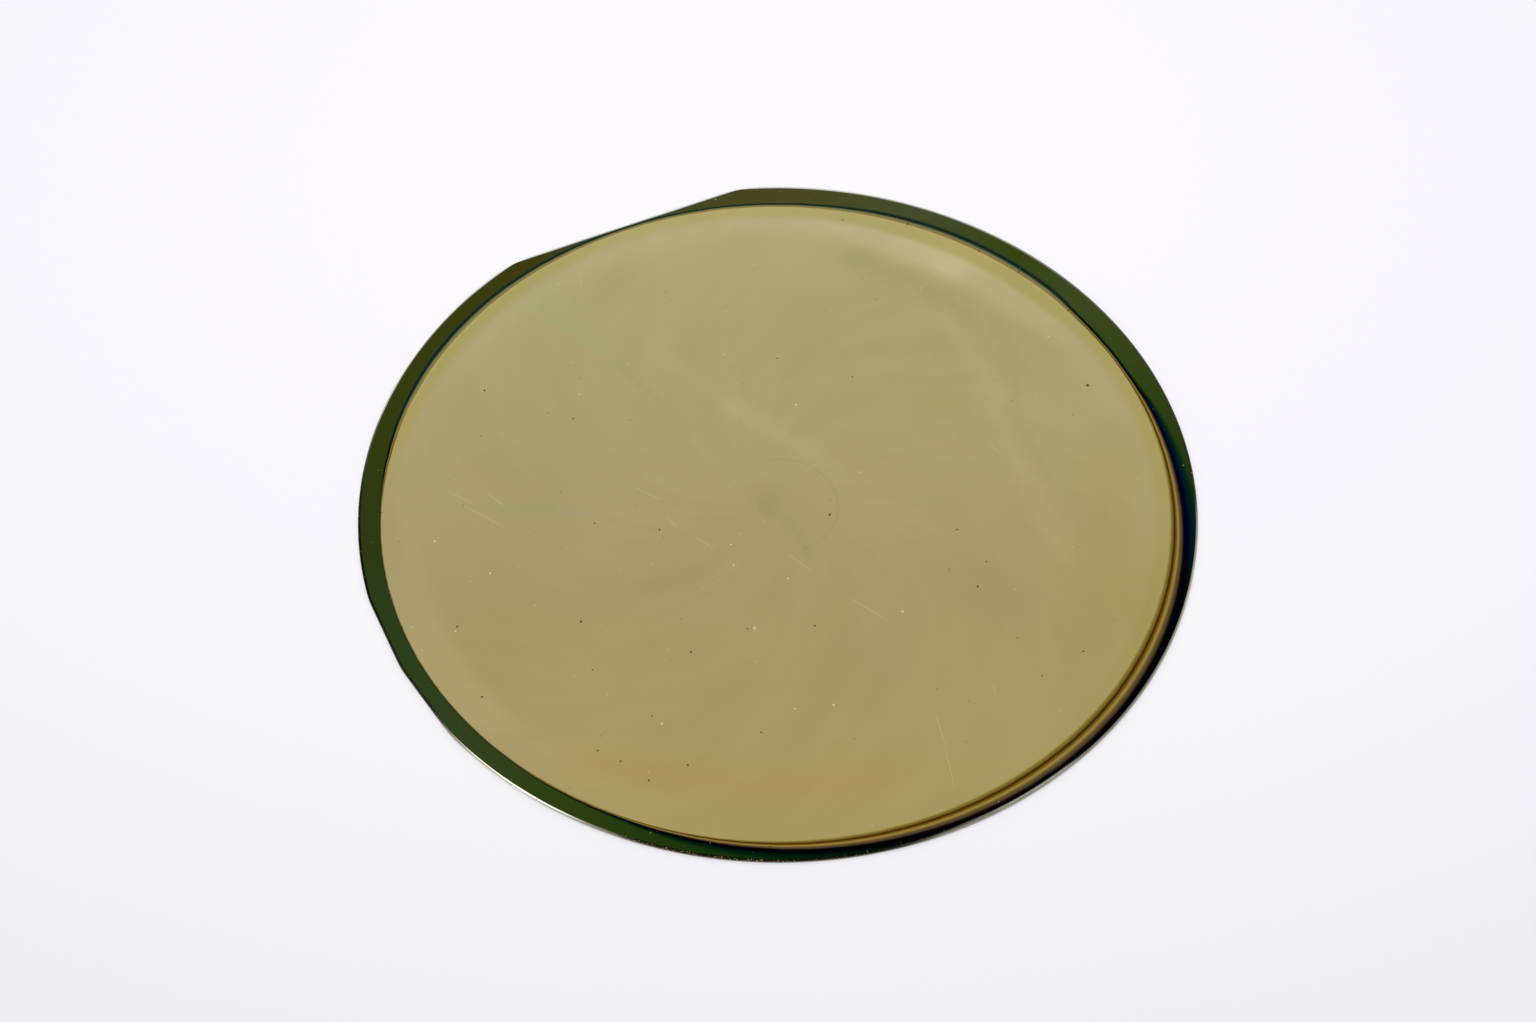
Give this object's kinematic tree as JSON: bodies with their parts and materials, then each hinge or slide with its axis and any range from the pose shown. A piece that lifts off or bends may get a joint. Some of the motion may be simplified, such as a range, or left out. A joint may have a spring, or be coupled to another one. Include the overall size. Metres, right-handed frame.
{
  "type": "silicon wafer",
  "caption": "Thin round slice of silicon with a primary and a secondary flat, a bevelled and rounded edge, and a spun film on its front face; the blank that chips are made on.",
  "frame": {"origin": "centre of the round edge's circle, on the back face", "axes": "+Z out of the coated front face, -Y square out of the primary flat, +X square out of the secondary flat"},
  "size_m": [0.0759, 0.0744, 0.0004],
  "materials": {
    "silicon": "polished, with a thin spun film that reads as an olive mirror inside a dark green rim; lapped grey on the back"
  },
  "bodies": {
    "root": {"wafer": "silicon"}
  },
  "joints": []
}
